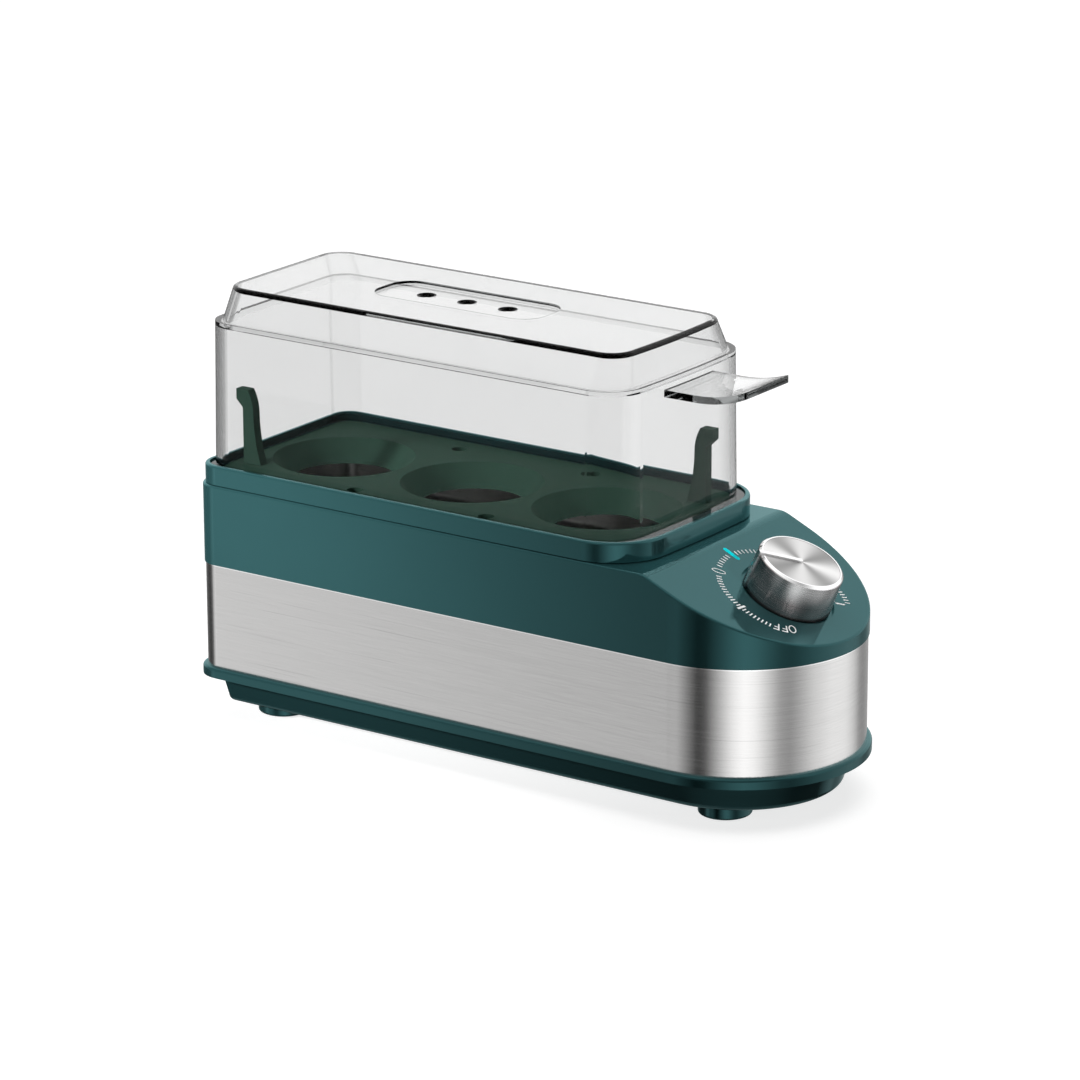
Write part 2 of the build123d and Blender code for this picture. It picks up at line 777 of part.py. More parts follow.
with BuildPart() as timer_shaft:
    with BuildSketch(dial.offset(case_top - shaft_root)):
        Circle(shaft_radius)
    extrude(amount=shaft_root - case_top + shaft_flat_start)
    with BuildSketch(dial.offset(shaft_flat_start)):
        Circle(shaft_radius)
        with Locations((0, shaft_radius)):
            Rectangle(3 * shaft_radius, 2 * shaft_flat, mode=Mode.SUBTRACT)
    extrude(amount=shaft_top - shaft_flat_start)
timer_shaft.part.label = "timer_shaft"
export_step(timer_shaft.part, "parts/timer_shaft.step")

with BuildPart() as timer_plate:
    with BuildSketch(dial.offset(plate_top)):
        Circle(timer_plate_radius)
        Circle(shaft_radius + shaft_gap, mode=Mode.SUBTRACT)
        with Locations(*timer_screw_places):
            Circle(timer_screw_radius + screw_gap, mode=Mode.SUBTRACT)
    extrude(amount=-timer_plate_thickness)
timer_plate.part.label = "timer_plate"
export_step(timer_plate.part, "parts/timer_plate.step")

with BuildPart() as timer_case:
    with BuildSketch(dial.offset(case_top)):
        Circle(timer_case_radius)
    extrude(amount=-timer_case_depth)
    fillet(timer_case.edges().filter_by(GeomType.CIRCLE), timer_case_round)
    with BuildSketch(dial.offset(case_bottom)):
        Circle(bell_stud_radius)
    extrude(amount=-bell_height)
    with BuildSketch(dial.offset(case_top)):
        Circle(shaft_radius + shaft_gap)
    extrude(amount=-shaft_root - seat_gap, mode=Mode.SUBTRACT)
    with BuildSketch(dial.offset(case_top)):
        with Locations(*timer_screw_places):
            Circle(timer_screw_radius + screw_gap)
    extrude(amount=-timer_screw_length, mode=Mode.SUBTRACT)
timer_case.part.label = "timer_case"
export_step(timer_case.part, "parts/timer_case.step")

with BuildPart() as timer_screws:
    screw_seat = -well_depth - timer_screw_sink
    with BuildSketch(dial.offset(screw_seat)):
        with Locations(*timer_screw_places):
            Circle(timer_screw_head)
    extrude(amount=timer_screw_head_height)
    with BuildSketch(dial.offset(screw_seat)):
        with Locations(*timer_screw_places):
            Circle(timer_screw_radius)
    extrude(amount=-timer_screw_length)
timer_screws.part.label = "timer_screws"
export_step(timer_screws.part, "parts/timer_screws.step")

with BuildPart() as timer_bell:
    bell_crown = case_bottom - bell_height + bell_sheet
    with BuildSketch(Plane(origin=dial.origin, x_dir=dial.x_dir, z_dir=-dial.y_dir)):
        with BuildLine():
            outside = ThreePointArc(
                (bell_stud_radius + screw_gap, bell_crown - bell_sheet),
                (bell_shoulder_radius, bell_crown + bell_sheet),
                (bell_radius, case_bottom - bell_gap),
            )
            Line(outside @ 1, (bell_radius - bell_sheet, case_bottom - bell_gap))
            inside = ThreePointArc(
                (bell_radius - bell_sheet, case_bottom - bell_gap),
                (bell_shoulder_radius - bell_turn, bell_crown + bell_sheet + bell_turn),
                (bell_stud_radius + screw_gap, bell_crown),
            )
            Line(inside @ 1, outside @ 0)
        make_face()
    revolve(axis=Axis(dial.origin, dial.z_dir))
timer_bell.part.label = "timer_bell"
export_step(timer_bell.part, "parts/timer_bell.step")

# Heater: cast plate under the pan with a U-shaped tubular element let into it
plate_bottom = pan_under - heat_plate_thickness
element_z = plate_bottom - element_radius + element_sunk
leg_rear = heater_middle - element_leg_length / 2
leg_front = heater_middle + element_leg_length / 2 - element_leg_y


def element_route():
    """Centre line of the tubular element: two legs joined by a half circle at the front."""
    with BuildLine(Plane.XY.offset(element_z)) as route:
        Line((leg_rear, -element_leg_y), (leg_front, -element_leg_y))
        ThreePointArc(
            (leg_front, -element_leg_y),
            (leg_front + element_leg_y, 0),
            (leg_front, element_leg_y),
        )
        Line((leg_front, element_leg_y), (leg_rear, element_leg_y))
    return route.wires()[0]


leg_end = Plane(origin=(leg_rear, -element_leg_y, element_z), x_dir=(0, 1, 0), z_dir=(1, 0, 0))

with BuildPart() as heating_element:
    with BuildSketch(leg_end):
        Circle(element_radius)
    sweep(path=element_route())
    for side in (-1, 1):
        pin = Plane(origin=(leg_rear, side * element_leg_y, element_z), x_dir=(0, 1, 0), z_dir=(-1, 0, 0))
        with BuildSketch(pin):
            Circle(element_pin_radius)
        extrude(amount=element_pin_length)
heating_element.part.label = "heating_element"
export_step(heating_element.part, "parts/heating_element.step")

with BuildPart() as groove:
    with BuildSketch(leg_end):
        Circle(element_radius + screw_gap)
    sweep(path=element_route())
    for side in (-1, 1):
        run_out = Plane(origin=(leg_rear, side * element_leg_y, element_z), x_dir=(0, 1, 0), z_dir=(-1, 0, 0))
        with BuildSketch(run_out):
            Circle(element_radius + screw_gap)
        extrude(amount=heat_plate_length)

strap_reach = thermostat_radius + strap_sheet + strap_ear / 2
fuse_x = heater_middle + fuse_offset
fuse_ear_x = fuse_x + fuse_radius + strap_sheet + strap_ear / 2
bracket_screw_places = [
    (heater_middle - strap_reach, 0),
    (heater_middle + strap_reach, 0),
    (fuse_ear_x, 0),
]

with BuildPart() as heat_plate:
    with BuildSketch(Plane.XY.offset(pan_under)):
        with Locations((heater_middle, 0)):
            RectangleRounded(heat_plate_length, heat_plate_width, heat_plate_round)
    extrude(amount=-heat_plate_thickness)
    add(groove.part, mode=Mode.SUBTRACT)
    with BuildSketch(Plane.XY.offset(plate_bottom)):
        with Locations(*bracket_screw_places):
            Circle(small_screw_radius + screw_gap)
    extrude(amount=small_screw_bite + screw_relief, mode=Mode.SUBTRACT)
heat_plate.part.label = "heat_plate"
export_step(heat_plate.part, "parts/heat_plate.step")

# Disc thermostat held up by a sprung strap
with BuildPart() as thermostat:
    with BuildSketch(Plane.XY.offset(plate_bottom)):
        with Locations((heater_middle, 0)):
            Circle(thermostat_radius)
    extrude(amount=-thermostat_height)
    with BuildSketch(Plane.XY.offset(plate_bottom - thermostat_rim_height)):
        with Locations((heater_middle, 0)):
            Circle(thermostat_radius)
            Circle(thermostat_body_radius, mode=Mode.SUBTRACT)
    extrude(amount=thermostat_rim_height - thermostat_height, mode=Mode.SUBTRACT)
thermostat.part.label = "thermostat"
export_step(thermostat.part, "parts/thermostat.step")


def strap(middle, half_span, drop, ears):
    """Side view of a bent strap that hangs under the heat plate, with ears at -1 and 1."""
    with BuildSketch() as profile:
        with Locations((middle, plate_bottom - drop - strap_sheet / 2)):
            Rectangle(2 * (half_span + strap_sheet), strap_sheet)
        for end in (-1, 1):
            leg_x = middle + end * (half_span + strap_sheet / 2)
            with Locations((leg_x, plate_bottom - (drop + strap_sheet) / 2)):
                Rectangle(strap_sheet, drop + strap_sheet)
        for end in ears:
            ear_x = middle + end * (half_span + strap_sheet + strap_ear / 2)
            with Locations((ear_x, plate_bottom - strap_sheet / 2)):
                Rectangle(strap_ear + screw_gap, strap_sheet)
    return profile.sketch


with BuildPart() as thermostat_bracket:
    with BuildSketch(Plane.XZ):
        add(strap(heater_middle, thermostat_radius + shaft_gap, thermostat_height, (-1, 1)))
    extrude(amount=strap_width / 2, both=True)
    with BuildSketch(Plane.XY.offset(plate_bottom)):
        with Locations(*bracket_screw_places[:2]):
            Circle(small_screw_radius + screw_gap)
    extrude(amount=-strap_sheet, mode=Mode.SUBTRACT)
thermostat_bracket.part.label = "thermostat_bracket"
export_step(thermostat_bracket.part, "parts/thermostat_bracket.step")

# Thermal fuse and its clip
fuse_drop = 2 * fuse_radius + 2 * shaft_gap

with BuildPart() as thermal_fuse:
    fuse_end = Plane(
        origin=(fuse_x, -fuse_length / 2, plate_bottom - fuse_radius - shaft_gap),
        x_dir=(1, 0, 0),
        z_dir=(0, 1, 0),
    )
    with BuildSketch(fuse_end):
        Circle(fuse_radius)
    extrude(amount=fuse_length)
thermal_fuse.part.label = "thermal_fuse"
export_step(thermal_fuse.part, "parts/thermal_fuse.step")

with BuildPart() as fuse_clip:
    with BuildSketch(Plane.XZ):
        add(strap(fuse_x, fuse_radius + shaft_gap, fuse_drop, (1,)))
    extrude(amount=strap_width / 2, both=True)
    with BuildSketch(Plane.XY.offset(plate_bottom)):
        with Locations(bracket_screw_places[2]):
            Circle(small_screw_radius + screw_gap)
    extrude(amount=-strap_sheet, mode=Mode.SUBTRACT)
fuse_clip.part.label = "fuse_clip"
export_step(fuse_clip.part, "parts/fuse_clip.step")

with BuildPart() as bracket_screws:
    with BuildSketch(Plane.XY.offset(plate_bottom - strap_sheet)):
        with Locations(*bracket_screw_places):
            Circle(small_screw_head)
    extrude(amount=-small_head_height)
    with BuildSketch(Plane.XY.offset(plate_bottom - strap_sheet)):
        with Locations(*bracket_screw_places):
            Circle(small_screw_radius)
    extrude(amount=strap_sheet + small_screw_bite)
bracket_screws.part.label = "bracket_screws"
export_step(bracket_screws.part, "parts/bracket_screws.step")

# Screws that pull the base up to the housing's posts
with BuildPart() as base_screws:
    with BuildSketch(Plane.XY.offset(screw_recess_top)):
        with Locations(*post_places):
            Circle(screw_head_radius)
    extrude(amount=-screw_head_height)
    with BuildSketch(Plane.XY.offset(screw_recess_top)):
        with Locations(*post_places):
            Circle(screw_radius)
    extrude(amount=screw_tip - screw_recess_top)
base_screws.part.label = "base_screws"
export_step(base_screws.part, "parts/base_screws.step")

# Feet with pins through the base, and the soft pads let into them
with BuildPart() as feet:
    with BuildSketch(Plane.XY.offset(pad_proud)):
        with Locations(*feet_places):
            Circle(foot_radius)
    extrude(amount=foot_height - pad_proud)
    fillet(feet.edges().group_by(Axis.Z)[0], foot_edge_round)
    with BuildSketch(Plane.XY.offset(foot_height)):
        with Locations(*feet_places):
            Circle(foot_pin_radius)
    extrude(amount=foot_pin_height)
    with BuildSketch(Plane.XY.offset(pad_proud)):
        with Locations(*feet_places):
            Circle(pad_radius + shaft_gap)
    extrude(amount=pad_thickness - pad_proud, mode=Mode.SUBTRACT)
feet.part.label = "feet"
export_step(feet.part, "parts/feet.step")

with BuildPart() as foot_pads:
    with BuildSketch(Plane.XY):
        with Locations(*feet_places):
            Circle(pad_radius)
    extrude(amount=pad_thickness)
foot_pads.part.label = "foot_pads"
export_step(foot_pads.part, "parts/foot_pads.step")

# Grommet in the cord inlet
with BuildPart() as cord_gland:
    with BuildSketch(inlet):
        Circle(gland_lip_radius)
    extrude(amount=gland_lip)
    with BuildSketch(inlet):
        Circle(gland_body_radius)
    extrude(amount=-inlet_pad_depth)
    with BuildSketch(inlet.offset(gland_lip)):
        Circle(gland_bore_radius)
    extrude(amount=-inlet_pad_depth - gland_lip, mode=Mode.SUBTRACT)
cord_gland.part.label = "cord_gland"
export_step(cord_gland.part, "parts/cord_gland.step")

# Terminal block on its pad, with its screw
terminal_z = floor_top + terminal_pad_height

with BuildPart() as terminal_block:
    with BuildSketch(Plane.XY.offset(terminal_z)):
        with Locations((terminal_middle, 0)):
            Rectangle(terminal_size[0], terminal_size[1])
    extrude(amount=terminal_size[2])
    with BuildSketch(Plane.YZ.offset(terminal_middle - terminal_size[0] / 2)):
        with Locations(*[(side * terminal_hole_y, terminal_z + terminal_hole_rise) for side in (-1, 1)]):
            Circle(terminal_hole_radius)
    extrude(amount=terminal_size[0], mode=Mode.SUBTRACT)
    with BuildSketch(Plane.XY.offset(terminal_z)):
        with Locations((terminal_middle, 0)):
            Circle(small_screw_radius + screw_gap)
    extrude(amount=terminal_size[2], mode=Mode.SUBTRACT)
terminal_block.part.label = "terminal_block"
export_step(terminal_block.part, "parts/terminal_block.step")

with BuildPart() as terminal_screw:
    with BuildSketch(Plane.XY.offset(terminal_z + terminal_size[2])):
        with Locations((terminal_middle, 0)):
            Circle(small_screw_head)
    extrude(amount=small_head_height)
    with BuildSketch(Plane.XY.offset(terminal_z + terminal_size[2])):
        with Locations((terminal_middle, 0)):
            Circle(small_screw_radius)
    extrude(amount=-terminal_size[2] - small_screw_bite)
terminal_screw.part.label = "terminal_screw"
export_step(terminal_screw.part, "parts/terminal_screw.step")
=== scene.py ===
import json
import math

import bmesh
import bpy
from mathutils import Matrix, Vector


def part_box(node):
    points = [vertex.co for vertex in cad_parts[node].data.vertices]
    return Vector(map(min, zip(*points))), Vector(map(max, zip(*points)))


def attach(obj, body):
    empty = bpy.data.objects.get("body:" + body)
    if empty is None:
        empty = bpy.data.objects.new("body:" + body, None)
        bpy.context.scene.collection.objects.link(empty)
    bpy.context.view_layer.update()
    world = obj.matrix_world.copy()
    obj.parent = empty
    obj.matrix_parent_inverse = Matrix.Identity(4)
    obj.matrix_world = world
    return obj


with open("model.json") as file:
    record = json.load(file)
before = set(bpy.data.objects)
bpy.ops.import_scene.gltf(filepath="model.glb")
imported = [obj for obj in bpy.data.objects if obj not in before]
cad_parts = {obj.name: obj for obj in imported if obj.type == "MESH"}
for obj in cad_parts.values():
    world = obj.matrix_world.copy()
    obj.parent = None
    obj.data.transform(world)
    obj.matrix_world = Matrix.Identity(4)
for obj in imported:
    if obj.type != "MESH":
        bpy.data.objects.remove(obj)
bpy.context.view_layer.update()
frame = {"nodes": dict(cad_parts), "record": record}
nodes = frame["nodes"]
scene = bpy.context.scene
scene.view_settings.view_transform = "Standard"

MM = 0.001

# The dial's frame: its origin on the sloping face, the way out of the slope, and the way down it.
# Angles round the dial count from straight up the slope, towards +Y
DIAL_ORIGIN = Vector((84.51, 0.0, 63.99)) * MM
DIAL_TILT = math.radians(24.1)
DIAL_NORMAL = Vector((math.sin(DIAL_TILT), 0.0, math.cos(DIAL_TILT)))
DIAL_DOWN = Vector((math.cos(DIAL_TILT), 0.0, -math.sin(DIAL_TILT)))

# The painted sheen on the knob's top, a painted reflection, fans out in this many bright ways, and this is
# the angle of one
FAN_COUNT = 4.0
FAN_TURN = math.radians(56.0)

# The painted highlight patch on the knob's flank: its angle, and the heights over the slope where it comes
# in
HIGHLIGHT_PATCH_TURN = math.radians(-136.0)
HIGHLIGHT_PATCH_LOW = 4.0 * MM
HIGHLIGHT_PATCH_HIGH = 9.0 * MM

# The polished edge at the flank's top, whose whiter colour is a painted highlight: the heights over the
# slope where it comes in, and its roughness
POLISH_HIGHLIGHT_LOW = 11.1 * MM
POLISH_HIGHLIGHT_HIGH = 11.3 * MM
POLISH_ROUGHNESS = 0.12

# Turned grooves on the knob, per metre
KNOB_GROOVES = 9000.0

# The clear lid: the top of its foot flange, the foot of its cap and the start of its finger tab, each
# with the length over which its tint fades into the next
LID_FOOT_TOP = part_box("lid")[0][2] + 1.6 * MM
LID_FOOT_FADE = 0.4 * MM
LID_SHOULDER = 125.4 * MM
LID_SHOULDER_FADE = 1.5 * MM
TAB_START = 46.0 * MM
TAB_FADE = 1.0 * MM

# How grey the lid's plastic is: its foot, walls, cap and tab, and where a haze lies on it. The dark foot is
# painted shade where it sits in the rim, and the pale tab is painted light
PAINTED_FOOT_SHADE = 0.5
WALL_GREY = 0.90
CAP_GREY = 0.945
PAINTED_TAB_LIGHT = 0.99
HAZE_GREY = 0.8

# The lid's rounded corners are darkened as painted shade: darker up to the first X, at the rear, and paler
# from the second on
EDGE_SHADE_REAR = -60.0 * MM
EDGE_SHADE_FRONT = 0.0
EDGE_SHADE_REAR_GREY = 0.35
EDGE_SHADE_FRONT_GREY = 0.6

# A painted highlight: the bright line where the steel band's top edge is rolled over
BAND_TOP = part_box("steel_band")[1][2]
BAND_EDGE_HIGHLIGHT = (BAND_TOP - 0.55 * MM, BAND_TOP - 0.4 * MM)

# Brushed and turned metal spreads its gloss across its grain: the tangent turned by this share of a turn
ACROSS_GRAIN = 0.25

# Camera of the photograph, with its lens and sensor in millimetres and its clipping in metres
CAMERA_PLACE = Vector((840.48, -1207.46, 520.75)) * MM
CAMERA_AZIMUTH = math.radians(34.957)
CAMERA_ELEVATION = math.radians(17.192)
CAMERA_ROLL = math.radians(-0.167)
CAMERA_LENS = 170.67
CAMERA_SENSOR = 36.0
CAMERA_NEAR = 0.05
CAMERA_FAR = 50.0


# Shader helpers
class Shader:
    """The node tree of one material or world, with short calls for the nodes it is made of."""

    def __init__(self, owner):
        owner.use_nodes = True
        self.owner = owner
        self.tree = owner.node_tree
        self.tree.nodes.clear()

    def add(self, kind, values=None, **settings):
        node = self.tree.nodes.new(kind)
        for key, value in settings.items():
            setattr(node, key, value)
        for key, value in (values or {}).items():
            self.feed(node, key, value)
        return node

    def feed(self, node, key, value):
        socket = node.inputs[key]
        if isinstance(value, bpy.types.NodeSocket):
            self.tree.links.new(value, socket)
        else:
            socket.default_value = value

    def math(self, operation, first, second=0.0):
        return self.add("ShaderNodeMath", {0: first, 1: second}, operation=operation).outputs[0]

    def vector(self, operation, first, second=(0.0, 0.0, 0.0)):
        node = self.add("ShaderNodeVectorMath", {0: first, 1: second}, operation=operation)
        return node.outputs["Value" if operation == "DOT_PRODUCT" else "Vector"]

    def split(self, vector):
        parts = self.add("ShaderNodeSeparateXYZ", {0: vector}).outputs
        return parts["X"], parts["Y"], parts["Z"]

    def spread(self, value, low, high, to_low, to_high):
        keys = {"Value": value, "From Min": low, "From Max": high, "To Min": to_low, "To Max": to_high}
        return self.add("ShaderNodeMapRange", keys).outputs["Result"]

    def fade(self, value, low, high):
        """A share that is 0 up to low and 1 from high on."""
        return self.spread(value, low, high, 0.0, 1.0)

    def vary(self, noise, low, high):
        """A value between low and high that follows a noise over its usual run."""
        return self.spread(noise, 0.3, 0.7, low, high)

    def ramp(self, value, stops):
        node = self.add("ShaderNodeValToRGB", {"Fac": value})
        elements = node.color_ramp.elements
        while len(elements) < len(stops):
            elements.new(0.5)
        for element, (position, colour) in zip(elements, stops):
            element.position = position
            element.color = colour
        return node.outputs["Color"]

    def place(self, stretch=(1.0, 1.0, 1.0)):
        coordinate = self.add("ShaderNodeTexCoord").outputs["Object"]
        return self.vector("MULTIPLY", coordinate, stretch)

    def noise(self, place, scale, detail=3.0, roughness=0.5):
        keys = {"Vector": place, "Scale": scale, "Detail": detail, "Roughness": roughness}
        return self.add("ShaderNodeTexNoise", keys).outputs["Fac"]

    def bump(self, height, strength, distance):
        keys = {"Height": height, "Strength": strength, "Distance": distance}
        return self.add("ShaderNodeBump", keys).outputs["Normal"]

    def mix_colour(self, share, first, second):
        """The mix of two colours. The node's colour sockets share their names, so they go by number."""
        return self.add("ShaderNodeMix", {0: share, 6: first, 7: second}, data_type="RGBA").outputs[2]

    def principled(self, keys):
        return self.add("ShaderNodeBsdfPrincipled", keys).outputs["BSDF"]

    def output(self, surface, volume=None, kind="ShaderNodeOutputMaterial"):
        keys = {"Surface": surface}
        if volume is not None:
            keys["Volume"] = volume
        self.add(kind, keys)
        return self.owner


def grey(level):
    return (level, level, level, 1.0)


def tone(colour, factor):
    return (colour[0] * factor, colour[1] * factor, colour[2] * factor, 1.0)


# Materials
def gloss_plastic(name, colour, roughness, tint):
    """Glossy moulded plastic: a faint flow mottle, a fine orange peel and a few soft wipes in the gloss."""
    s = Shader(bpy.data.materials.new(name))
    mottle = s.noise(s.place(), scale=38.0, detail=4.0)
    wipes = s.noise(s.place((1.0, 1.0, 2.4)), scale=55.0, detail=5.0, roughness=0.6)
    skin = s.noise(s.place(), scale=900.0, detail=2.0)
    keys = {
        "Base Color": s.mix_colour(mottle, tone(colour, 0.93), tone(colour, 1.07)),
        "Roughness": s.vary(wipes, roughness * 0.8, roughness * 1.25),
        "Metallic": 0.35,
        "IOR": 1.6,
        "Specular Tint": tint,
        "Normal": s.bump(skin, strength=0.06, distance=0.03 * MM),
    }
    return s.output(s.principled(keys))


def satin_plastic(name, colour, roughness):
    """Satin moulded plastic with a fine spark-eroded grain."""
    s = Shader(bpy.data.materials.new(name))
    mottle = s.noise(s.place(), scale=60.0, detail=4.0)
    grain = s.noise(s.place(), scale=3200.0, detail=3.0, roughness=0.65)
    keys = {
        "Base Color": s.mix_colour(mottle, tone(colour, 0.88), tone(colour, 1.12)),
        "Roughness": s.vary(grain, roughness * 0.85, roughness * 1.15),
        "IOR": 1.5,
        "Specular IOR Level": 0.02,
        "Normal": s.bump(grain, strength=0.08, distance=0.03 * MM),
    }
    return s.output(s.principled(keys))


def clear_tint(s):
    """The clear lid's grey, by its zones, with a faint haze, painted shade on its foot and corners and
    painted light on its tab.
    """
    along, _, height = s.split(s.place())
    haze = s.noise(s.place(), scale=90.0, detail=4.0)
    cap = s.fade(height, LID_SHOULDER, LID_SHOULDER + LID_SHOULDER_FADE)
    # The tab's paler grey is painted light, and the foot's dark grey is painted shade where it sits in the
    # rim
    tab = s.fade(along, TAB_START, TAB_START + TAB_FADE)
    foot_shade = s.spread(height, LID_FOOT_TOP, LID_FOOT_TOP + LID_FOOT_FADE, 1.0, 0.0)
    tint = s.mix_colour(cap, grey(WALL_GREY), grey(CAP_GREY))
    tint = s.mix_colour(tab, tint, grey(PAINTED_TAB_LIGHT))
    tint = s.mix_colour(s.spread(haze, 0.5, 0.8, 0.0, 0.1), tint, grey(HAZE_GREY))
    tint = s.mix_colour(foot_shade, tint, grey(PAINTED_FOOT_SHADE))

    # A wall faces both X and Y only where it turns a corner. There painted shade darkens it, most where it
    # is seen edge-on
    facing_x, facing_y, _ = s.split(s.add("ShaderNodeNewGeometry").outputs["Normal"])
    bend = s.math("ABSOLUTE", s.math("MULTIPLY", facing_x, facing_y))
    corner = s.math("MULTIPLY", s.fade(bend, 0.02, 0.12), s.math("SUBTRACT", 1.0, tab))
    edge_on = s.add("ShaderNodeLayerWeight", {"Blend": 0.5}).outputs["Facing"]
    edge_shade = s.math("MULTIPLY", corner, s.spread(edge_on, 0.25, 0.5, 0.08, 1.0))
    front = s.fade(along, EDGE_SHADE_REAR, EDGE_SHADE_FRONT)
    edge_shade_grey = s.mix_colour(front, grey(EDGE_SHADE_REAR_GREY), grey(EDGE_SHADE_FRONT_GREY))
    return s.mix_colour(edge_shade, tint, edge_shade_grey)


def clear_plastic():
    """Clear moulded plastic with a slight grey body, which lets light through to what stands under it."""
    s = Shader(bpy.data.materials.new("clear_plastic"))
    waves = s.noise(s.place(), scale=26.0, detail=2.0)
    keys = {
        "Base Color": clear_tint(s),
        "Roughness": 0.0,
        "IOR": 1.49,
        "Specular Tint": grey(0.15),
        "Transmission Weight": 1.0,
        "Normal": s.bump(waves, strength=0.04, distance=0.2 * MM),
    }
    solid = s.principled(keys)
    passing = s.add("ShaderNodeBsdfTransparent", {"Color": (0.93, 0.935, 0.935, 1.0)}).outputs["BSDF"]
    shadow = s.add("ShaderNodeLightPath").outputs["Is Shadow Ray"]
    mixed = s.add("ShaderNodeMixShader", {0: shadow, 1: solid, 2: passing}).outputs["Shader"]
    body = s.add("ShaderNodeVolumeAbsorption", {"Color": (0.30, 0.32, 0.32, 1.0), "Density": 60.0})
    return s.output(mixed, body.outputs["Volume"])


def brushed_steel(name, colour, roughness, drawn, grain, roll=None):
    """Brushed sheet metal. The grain runs level, so a lamp's reflection spreads up and down.

    drawn is a line's width as a share of its length, grain is about how many lines lie in a metre of
    height, and roll gives the heights between which a painted highlight along the rolled edge comes in.
    """
    s = Shader(bpy.data.materials.new(name))
    lines = s.noise(s.place((drawn, drawn, 1.0)), scale=grain, detail=4.0, roughness=0.7)
    broad_place = s.place((drawn * 0.6, drawn * 0.6, 1.0))
    broad = s.noise(broad_place, scale=grain * 0.12, detail=3.0, roughness=0.6)
    shade = s.math("ADD", s.math("MULTIPLY", lines, 0.8), s.math("MULTIPLY", broad, 0.2))
    base = s.mix_colour(s.fade(shade, 0.36, 0.64), tone(colour, 0.95), tone(colour, 1.05))
    scratches = s.noise(s.place((drawn * 0.3, drawn * 0.3, 1.0)), scale=grain, detail=2.0)
    base = s.mix_colour(s.spread(scratches, 0.64, 0.72, 0.0, 0.7), base, tone(colour, 0.8))
    # A painted highlight: the colour turns white along the rolled top edge
    if roll is not None:
        _, _, height = s.split(s.place())
        base = s.mix_colour(s.fade(height, *roll), base, grey(1.0))
    keys = {
        "Base Color": base,
        "Metallic": 1.0,
        "Roughness": s.vary(shade, roughness * 0.85, roughness * 1.2),
        "Anisotropic": 0.75,
        "Anisotropic Rotation": ACROSS_GRAIN,
        "Tangent": s.add("ShaderNodeTangent", direction_type="RADIAL", axis="Z").outputs["Tangent"],
        "Normal": s.bump(shade, strength=0.12, distance=0.03 * MM),
    }
    return s.output(s.principled(keys))


def dial_space(s):
    """Where a point lies by the dial: its height over the slope, its radius and angle, and the way round."""
    point = s.add("ShaderNodeTexCoord").outputs["Object"]
    offset = s.vector("SUBTRACT", point, tuple(DIAL_ORIGIN))
    height = s.vector("DOT_PRODUCT", offset, tuple(DIAL_NORMAL))
    lift = s.add("ShaderNodeVectorMath", {0: tuple(DIAL_NORMAL), "Scale": height}, operation="SCALE")
    flat = s.vector("SUBTRACT", offset, lift.outputs["Vector"])
    radius = s.add("ShaderNodeVectorMath", {0: flat}, operation="LENGTH").outputs["Value"]
    tangent = s.vector("CROSS_PRODUCT", tuple(DIAL_NORMAL), flat)
    down = s.vector("DOT_PRODUCT", offset, tuple(DIAL_DOWN))
    _, across, _ = s.split(offset)
    angle = s.math("ARCTAN2", across, s.math("MULTIPLY", down, -1.0))
    return height, radius, angle, tangent


def painted_fan_sheen(s, colour, base, angle):
    """The knob's top: a painted reflection, bright and dark ways that fan out from its middle."""
    wave = s.math("COSINE", s.math("MULTIPLY", s.math("SUBTRACT", angle, FAN_TURN), FAN_COUNT))
    return s.mix_colour(s.fade(wave, -1.0, 1.0), tone(colour, 0.42), base)


def painted_flank_highlights(s, colour, polish_and_highlight, height, angle):
    """The knob's flank: dark, with a painted highlight patch to one side and a polished top edge whose
    whiter colour is a painted highlight.
    """
    # A painted highlight patch to one side of the flank
    beside = s.fade(s.math("COSINE", s.math("SUBTRACT", angle, HIGHLIGHT_PATCH_TURN)), 0.6, 0.95)
    highlight_patch = s.math("MULTIPLY", beside, s.fade(height, HIGHLIGHT_PATCH_LOW, HIGHLIGHT_PATCH_HIGH))
    base = s.mix_colour(highlight_patch, tone(colour, 0.6), grey(0.98))
    # The top edge's whiter colour is a painted highlight
    return s.mix_colour(polish_and_highlight, base, grey(0.99))


def turned_metal(name, colour, roughness, anisotropy, is_flank):
    """Turned metal with fine grooves round the dial's axis, for the knob's flank or its top, with painted
    highlights on the flank and a painted reflection fanning over the top.
    """
    s = Shader(bpy.data.materials.new(name))
    height, radius, angle, tangent = dial_space(s)
    groove_keys = {
        "X": s.math("MULTIPLY", radius, KNOB_GROOVES),
        "Y": s.math("MULTIPLY", height, KNOB_GROOVES),
    }
    groove_place = s.add("ShaderNodeCombineXYZ", groove_keys).outputs["Vector"]
    grooves = s.noise(groove_place, scale=1.0, detail=3.0, roughness=0.7)
    gloss = s.vary(grooves, roughness * 0.94, roughness * 1.07)
    if is_flank:
        # The polished top edge: a lower roughness, and a whiter colour that is a painted highlight
        polish_and_highlight = s.fade(height, POLISH_HIGHLIGHT_LOW, POLISH_HIGHLIGHT_HIGH)
        base = painted_flank_highlights(s, colour, polish_and_highlight, height, angle)
        gloss = s.spread(polish_and_highlight, 0.0, 1.0, gloss, POLISH_ROUGHNESS)
    else:
        base = s.mix_colour(grooves, tone(colour, 0.98), tone(colour, 1.02))
        # A painted reflection: bright and dark ways fanning round the axis
        base = painted_fan_sheen(s, colour, base, angle)
    keys = {
        "Base Color": base,
        "Metallic": 1.0,
        "Roughness": gloss,
        "Anisotropic": anisotropy,
        "Anisotropic Rotation": ACROSS_GRAIN,
        "Tangent": tangent,
        "Normal": s.bump(grooves, strength=0.008, distance=0.01 * MM),
    }
    return s.output(s.principled(keys))


